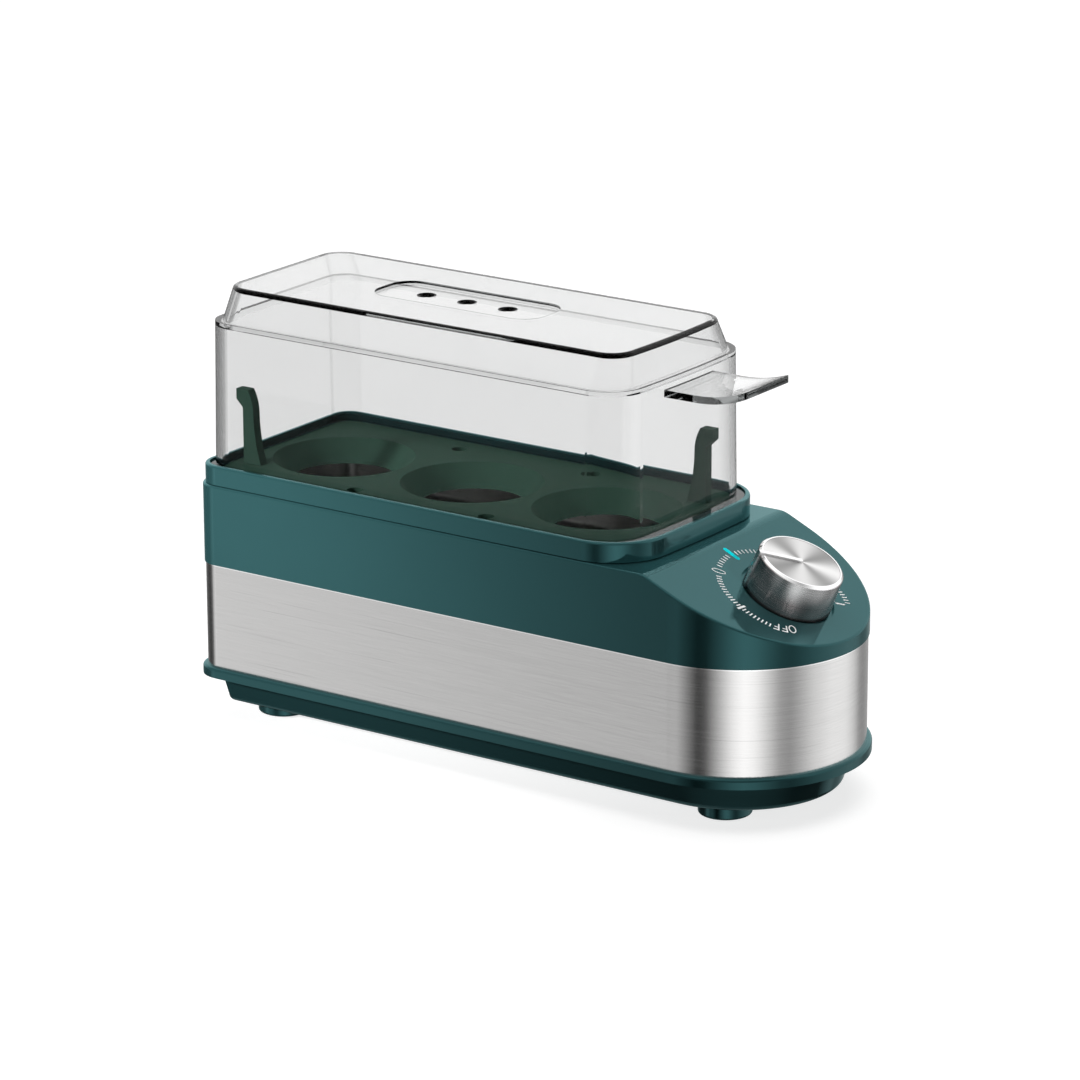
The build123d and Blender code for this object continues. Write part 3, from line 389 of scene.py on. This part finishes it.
def plain_metal(name, colour, roughness, grain, relief):
    """Pressed or cast metal with a mottled surface."""
    s = Shader(bpy.data.materials.new(name))
    spots = s.noise(s.place(), scale=grain, detail=5.0, roughness=0.6)
    keys = {
        "Base Color": s.mix_colour(spots, tone(colour, 0.85), tone(colour, 1.1)),
        "Metallic": 1.0,
        "Roughness": s.vary(spots, roughness * 0.8, roughness * 1.25),
        "Normal": s.bump(spots, strength=relief, distance=0.05 * MM),
    }
    return s.output(s.principled(keys))


def rubber(name, colour, roughness):
    """Matte rubber or silicone with a dusty bloom."""
    s = Shader(bpy.data.materials.new(name))
    bloom = s.noise(s.place(), scale=150.0, detail=5.0, roughness=0.6)
    grain = s.noise(s.place(), scale=2500.0, detail=2.0)
    keys = {
        "Base Color": s.mix_colour(bloom, tone(colour, 0.8), tone(colour, 1.25)),
        "Roughness": s.vary(bloom, roughness * 0.9, roughness * 1.15),
        "Normal": s.bump(grain, strength=0.2, distance=0.04 * MM),
    }
    return s.output(s.principled(keys))


def print_ink(name, colour):
    """Printed ink, a little uneven in cover."""
    s = Shader(bpy.data.materials.new(name))
    cover = s.noise(s.place(), scale=1800.0, detail=3.0)
    keys = {
        "Base Color": s.mix_colour(cover, tone(colour, 0.92), tone(colour, 1.0)),
        "Roughness": s.vary(cover, 0.4, 0.6),
        "Specular IOR Level": 0.1,
        "Normal": s.bump(cover, strength=0.1, distance=0.01 * MM),
    }
    return s.output(s.principled(keys))


HOUSING_GREEN = (0.0235, 0.0780, 0.0830)
# The base's green is the housing's, darkened as painted shade for its skirt, which faces down
BASE_SHADED_GREEN = tone(HOUSING_GREEN, 0.75)
GREEN_SHINE = (0.34, 0.96, 1.0, 1.0)

# Every finish by its name, with its colour and its roughness
FINISHES = {
    "housing_plastic": gloss_plastic("housing_plastic", HOUSING_GREEN, 0.06, GREEN_SHINE),
    "base_plastic": gloss_plastic("base_plastic", BASE_SHADED_GREEN, 0.07, GREEN_SHINE),
    "tray_plastic": satin_plastic("tray_plastic", (0.021, 0.046, 0.034), 0.55),
    "clear_plastic": clear_plastic(),
    "band_steel": brushed_steel("band_steel", (0.715, 0.71, 0.705), 0.2, drawn=0.02, grain=3400.0,
                                roll=BAND_EDGE_HIGHLIGHT),
    "pan_steel": brushed_steel("pan_steel", (0.66, 0.66, 0.65), 0.32, drawn=0.2, grain=2600.0),
    "knob_metal": turned_metal("knob_metal", (0.59, 0.525, 0.525), 0.26, 0.7, is_flank=True),
    "knob_top": turned_metal("knob_top", (0.9, 0.895, 0.89), 0.4, 0.9, is_flank=False),
    "pointer_metal": plain_metal("pointer_metal", (1.0, 1.0, 1.0), 0.3, grain=900.0, relief=0.03),
    "heater_aluminium": plain_metal("heater_aluminium", (0.62, 0.62, 0.63), 0.5, grain=700.0, relief=0.4),
    "element_steel": plain_metal("element_steel", (0.42, 0.41, 0.4), 0.45, grain=500.0, relief=0.2),
    "zinc_steel": plain_metal("zinc_steel", (0.62, 0.62, 0.6), 0.35, grain=260.0, relief=0.1),
    "brass": plain_metal("brass", (0.72, 0.58, 0.3), 0.25, grain=600.0, relief=0.1),
    "inner_plastic": satin_plastic("inner_plastic", (0.03, 0.03, 0.033), 0.5),
    "block_plastic": satin_plastic("block_plastic", (0.74, 0.73, 0.68), 0.5),
    "soft_rubber": rubber("soft_rubber", (0.03, 0.03, 0.03), 0.75),
    "seal_silicone": rubber("seal_silicone", (0.45, 0.44, 0.42), 0.6),
    "print_white": print_ink("print_white", (1.0, 1.0, 1.0)),
    "print_cyan": print_ink("print_cyan", (0.0, 0.92, 1.0)),
}

# A node whose finish isn't its material slot's: the knob's cap has the painted fan sheen of a top, not the
# painted highlights of a flank
OWN_FINISH = {"knob_cap": "knob_top"}


def dress(node, finish):
    """Give a CAD node this finish all over."""
    if not node.material_slots:
        node.data.materials.append(finish)
    for slot in node.material_slots:
        slot.material = finish


for part in frame["record"]["subparts"]:
    name = part["node"]
    dress(nodes[name], FINISHES[OWN_FINISH.get(name, part["material_slot"])])


# Dial print

# The print's middle lies a little up the slope and to -Y of the knob's axis
PRINT_UP = 0.5 * MM
PRINT_ASIDE = 1.0 * MM
PRINT_CENTRE = DIAL_ORIGIN - DIAL_DOWN * PRINT_UP - Vector((0.0, PRINT_ASIDE, 0.0))

# The ink reaches from just under the slope to just over it
PRINT_LOW = -0.03 * MM
PRINT_HIGH = 0.05 * MM

TICK_INNER = 19.75 * MM
TICK_OUTER = 21.45 * MM
TICK_WIDTH = 0.42 * MM

# Rows of even ticks, each by its first and last angle in degrees and its count
TICK_ROWS = (
    (-24.9, -4.6, 6),
    (7.5, 24.1, 5),
    (-81.0, -41.8, 12),
    (-112.4, -87.7, 8),
    (27.8, 124.0, 27),
)

# Single bars by angle, inner and outer radius and width: the heavy one between OFF and the nought, and
# the two at the dial's end
BARS = (
    (-84.2, 18.8 * MM, 22.2 * MM, 0.8 * MM),
    (131.5, 16.4 * MM, 19.4 * MM, 0.65 * MM),
    (128.0, TICK_INNER, TICK_OUTER, TICK_WIDTH),
)
READY_BAR = (2.2, 17.7 * MM, 24.0 * MM, 1.5 * MM)

# Ovals by angle, radius, half length, half width and stroke
NOUGHT = (-33.4, 20.5 * MM, 2.05 * MM, 0.95 * MM, 0.3 * MM)
LETTER_O = (-132.3, 18.7 * MM, 1.75 * MM, 1.02 * MM, 0.36 * MM)

# The outline of an F about its middle, and the angle and radius of each F, in millimetres and degrees.
# The letters' tops point outward, but lean by this angle
LETTER_F = ((-0.95, -1.7), (-0.53, -1.7), (-0.53, -0.1), (0.6, -0.1), (0.6, 0.32), (-0.53, 0.32),
            (-0.53, 1.26), (0.95, 1.26), (0.95, 1.7), (-0.95, 1.7))
LETTER_F_PLACES = ((-117.6, 20.0), (-124.8, 19.6))
LETTER_LEAN = 7.5

# Straight edges in an oval, and in the round end of a bar
OVAL_STEPS = 48
END_STEPS = 8


def dial_ways(angle):
    """The way out from the dial's middle at this angle, and the way square to it.

    Like every flat point of the print, each is given as (down the slope, along Y).
    """
    turn = math.radians(angle)
    along = Vector((-math.cos(turn), math.sin(turn)))
    return along, Vector((along.y, -along.x))


def print_corners(maker, point):
    """The lower and the upper corner of the ink at this flat point."""
    base = PRINT_CENTRE + DIAL_DOWN * point.x + Vector((0.0, point.y, 0.0))
    return [maker.verts.new(base + DIAL_NORMAL * lift) for lift in (PRINT_LOW, PRINT_HIGH)]


def add_slab(maker, outline):
    """A thin raised patch of ink with this outline."""
    low, high = zip(*[print_corners(maker, point) for point in outline])
    maker.faces.new(high)
    maker.faces.new(low[::-1])
    count = len(outline)
    for i in range(count):
        k = (i + 1) % count
        maker.faces.new((low[i], low[k], high[k], high[i]))


def add_bar(maker, angle, inner, outer, width, round_ends=False):
    """A radial bar, with round ends where asked."""
    along, across = dial_ways(angle)
    half = width / 2
    if round_ends:
        points = []
        for centre, start in ((outer - half, 90.0), (inner + half, -90.0)):
            for step in range(END_STEPS + 1):
                turn = math.radians(start - step * 180.0 / END_STEPS)
                points.append(along * (centre + half * math.cos(turn)) + across * (half * math.sin(turn)))
    else:
        points = [
            along * inner - across * half,
            along * outer - across * half,
            along * outer + across * half,
            along * inner + across * half,
        ]
    add_slab(maker, points)


def add_oval(maker, angle, radius, long_half, short_half, stroke):
    """The outline of an oval with its long way along the radius, for the nought and the letter O."""
    along, across = dial_ways(angle)
    rows = []
    for i in range(OVAL_STEPS):
        turn = 2 * math.pi * i / OVAL_STEPS
        row = []
        for grow in (stroke / 2, -stroke / 2):
            out = along * (radius + (long_half + grow) * math.cos(turn))
            row += print_corners(maker, out + across * ((short_half + grow) * math.sin(turn)))
        rows.append(row)
    for i in range(OVAL_STEPS):
        a = rows[i]
        b = rows[(i + 1) % OVAL_STEPS]
        maker.faces.new((a[1], b[1], b[3], a[3]))
        maker.faces.new((a[0], a[2], b[2], b[0]))
        maker.faces.new((a[0], b[0], b[1], a[1]))
        maker.faces.new((a[2], a[3], b[3], b[2]))


def finish_piece(maker, name, material, body):
    """Turn what was drawn into one piece of the dial print."""
    bmesh.ops.recalc_face_normals(maker, faces=maker.faces)
    mesh = bpy.data.meshes.new(name)
    maker.to_mesh(mesh)
    maker.free()
    mesh.materials.append(FINISHES[material])
    piece = bpy.data.objects.new(name, mesh)
    scene.collection.objects.link(piece)
    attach(piece, body)


marks = bmesh.new()
for first, last, count in TICK_ROWS:
    for i in range(count):
        add_bar(marks, first + (last - first) * i / (count - 1), TICK_INNER, TICK_OUTER, TICK_WIDTH)
for bar in BARS:
    add_bar(marks, *bar)
add_oval(marks, *NOUGHT)
finish_piece(marks, "dial_marks", "print_white", "housing")

ready = bmesh.new()
add_bar(ready, *READY_BAR, round_ends=True)
finish_piece(ready, "dial_ready_mark", "print_cyan", "housing")

word = bmesh.new()
for angle, radius in LETTER_F_PLACES:
    along, _ = dial_ways(angle)
    top, side = dial_ways(angle - LETTER_LEAN)
    add_slab(word, [(along * radius + side * u + top * v) * MM for u, v in LETTER_F])
add_oval(word, *LETTER_O)
finish_piece(word, "dial_off_word", "print_white", "housing")


# Camera
def photo_camera():
    azimuth, elevation, roll = CAMERA_AZIMUTH, CAMERA_ELEVATION, CAMERA_ROLL
    back = Vector((math.sin(azimuth) * math.cos(elevation),
                   -math.cos(azimuth) * math.cos(elevation), math.sin(elevation)))
    right = Vector((math.cos(azimuth), math.sin(azimuth), 0.0))
    up = back.cross(right)
    level = right * math.cos(roll) + up * math.sin(roll)
    upright = up * math.cos(roll) - right * math.sin(roll)
    data = bpy.data.cameras.new("camera")
    data.sensor_fit = "HORIZONTAL"
    data.sensor_width = CAMERA_SENSOR
    data.lens = CAMERA_LENS
    data.clip_start = CAMERA_NEAR
    data.clip_end = CAMERA_FAR
    camera = bpy.data.objects.new("camera", data)
    scene.collection.objects.link(camera)
    turn = Matrix((level, upright, back)).transposed().to_4x4()
    camera.matrix_world = Matrix.Translation(CAMERA_PLACE) @ turn
    scene.camera = camera


photo_camera()


# Floor
FLOOR_RADIUS = 6.0
FLOOR_SIDES = 96

# How pale the floor's paint is, and how strongly the floor glows to a ray that comes straight and to one
# that has met gloss on its way
FLOOR_PAINT = 0.48
FLOOR_GLOW_STRAIGHT = 0.78
FLOOR_GLOW_AFTER_GLOSS = 0.25

# A ray with fewer glossy bounces than this has had none
NO_BOUNCE = 0.5


def pale_floor():
    """A white floor that keeps the object's shadow and isn't seen in the object's gloss."""
    maker = bmesh.new()
    bmesh.ops.create_circle(maker, cap_ends=True, radius=FLOOR_RADIUS, segments=FLOOR_SIDES)
    mesh = bpy.data.meshes.new("floor")
    maker.to_mesh(mesh)
    maker.free()
    floor = bpy.data.objects.new("floor", mesh)
    scene.collection.objects.link(floor)
    s = Shader(bpy.data.materials.new("floor"))
    paint = s.add("ShaderNodeBsdfDiffuse", {"Color": grey(FLOOR_PAINT)}).outputs["BSDF"]
    straight = s.math("LESS_THAN", s.add("ShaderNodeLightPath").outputs["Glossy Depth"], NO_BOUNCE)
    strength = s.spread(straight, 0.0, 1.0, FLOOR_GLOW_AFTER_GLOSS, FLOOR_GLOW_STRAIGHT)
    glow = s.add("ShaderNodeEmission", {"Color": grey(1.0), "Strength": strength}).outputs["Emission"]
    mixed = s.add("ShaderNodeAddShader", {0: paint, 1: glow}).outputs["Shader"]
    mesh.materials.append(s.output(mixed))
    floor.visible_glossy = False
    floor.visible_diffuse = False


pale_floor()


# Studio
# Brightness of the soft boxes round the object, by compass angle from the front (-Y) towards +X
STUDIO_RING = (
    (-180, 0.30), (-158, 0.42), (-125, 0.25), (-99, 0.08), (-74, 0.05), (-60, 0.20), (-49, 0.98),
    (-39, 0.90), (-34, 0.53), (-24, 0.62), (-14, 0.30), (-4, 0.03), (4, 0.10), (16, 0.62), (28, 1.22),
    (38, 1.52), (48, 1.34), (58, 0.92), (70, 0.46), (80, 0.36), (90, 0.54), (104, 0.84),
    (124, 1.08), (144, 1.06), (158, 0.75), (170, 0.34), (180, 0.30),
)

# Brightness of the other zones that gloss shows: the sky behind, in front and overhead, a dark band
# under the ring, the floor under that, and the ring as perfectly smooth plastic shows it
SKY_BEHIND = 1.13
SKY_FRONT = 0.40
SKY_TOP = 1.0
UNDER = 0.09
GROUND = 0.45
RING_SHARP = 0.12

# Brightness that lights what has no gloss, from below and from above
SOFT_BELOW = 0.012
SOFT_ABOVE = 0.09

# Where one zone fades into the next, by the height of the way looked along, from -1 for straight down
# to 1 for straight up, and for the sky from front to back by its Y
GROUND_TO_UNDER = (-0.80, -0.70)
UNDER_TO_RING = (-0.61, -0.53)
RING_TO_SKY = (-0.12, 0.06)
SKY_TO_TOP = (0.66, 0.88)
SOFT_RISE = (-0.2, 0.5)
SKY_FRONT_TO_BEHIND = (-0.25, 0.15)


def studio():
    """The world: soft boxes for gloss, a weak soft light for the rest, and white behind the object."""
    s = Shader(bpy.data.worlds.new("studio"))
    x, y, z = s.split(s.add("ShaderNodeTexCoord").outputs["Generated"])
    rays = s.add("ShaderNodeLightPath").outputs
    turn = s.math("ARCTAN2", x, s.math("MULTIPLY", y, -1.0))
    stops = [((degrees + 180) / 360, grey(level)) for degrees, level in STUDIO_RING]
    ring = s.ramp(s.fade(turn, -math.pi, math.pi), stops)
    ring = s.mix_colour(s.fade(z, *UNDER_TO_RING), grey(UNDER), ring)
    ring = s.mix_colour(s.fade(z, *GROUND_TO_UNDER), grey(GROUND), ring)
    ring = s.mix_colour(rays["Is Singular Ray"], ring, grey(RING_SHARP))
    sky = s.mix_colour(s.fade(y, *SKY_FRONT_TO_BEHIND), grey(SKY_FRONT), grey(SKY_BEHIND))
    sky = s.mix_colour(s.fade(z, *SKY_TO_TOP), sky, grey(SKY_TOP))
    glossy = s.mix_colour(s.fade(z, *RING_TO_SKY), ring, sky)
    soft = s.mix_colour(s.fade(z, *SOFT_RISE), grey(SOFT_BELOW), grey(SOFT_ABOVE))
    lit = s.mix_colour(rays["Is Glossy Ray"], soft, glossy)
    straight = s.math("LESS_THAN", rays["Glossy Depth"], NO_BOUNCE)
    through = s.math("MULTIPLY", rays["Is Transmission Ray"], straight)
    seen = s.math("MAXIMUM", rays["Is Camera Ray"], through)
    colour = s.mix_colour(seen, lit, grey(1.0))
    back = s.add("ShaderNodeBackground", {"Color": colour, "Strength": 1.0}).outputs["Background"]
    scene.world = s.output(back, kind="ShaderNodeOutputWorld")


studio()


def add_lamp(name, kind, place, target, power):
    """A lamp that lights the surfaces but isn't seen in their gloss. Places are in metres."""
    lamp = bpy.data.lights.new(name, kind)
    lamp.energy = power
    light = bpy.data.objects.new(name, lamp)
    scene.collection.objects.link(light)
    light.location = place
    light.rotation_euler = (Vector(target) - Vector(place)).to_track_quat("-Z", "Y").to_euler()
    light.visible_glossy = False
    light.visible_camera = False
    light.visible_transmission = False
    return lamp


def add_spot(name, place, target, power, cone, radius):
    """A soft-edged spot lamp, with its cone's full angle in degrees and its own radius in metres."""
    lamp = add_lamp(name, "SPOT", place, target, power)
    lamp.spot_size = math.radians(cone)
    lamp.spot_blend = 1.0
    lamp.shadow_soft_size = radius


top_lamp = add_lamp("top_lamp", "SUN", place=(-0.06, 0.10, 1.0), target=(0.0, 0.0, 0.0), power=1.9)
top_lamp.angle = math.radians(60.0)
add_spot("side_lamp", place=(-0.50, -0.80, 0.42), target=(-0.088, -0.038, 0.072),
         power=102.0, cone=11.3, radius=0.08)
add_spot("front_lamp", place=(0.62, -0.12, 0.40), target=(0.042, -0.002, 0.064),
         power=34.0, cone=5.5, radius=0.06)
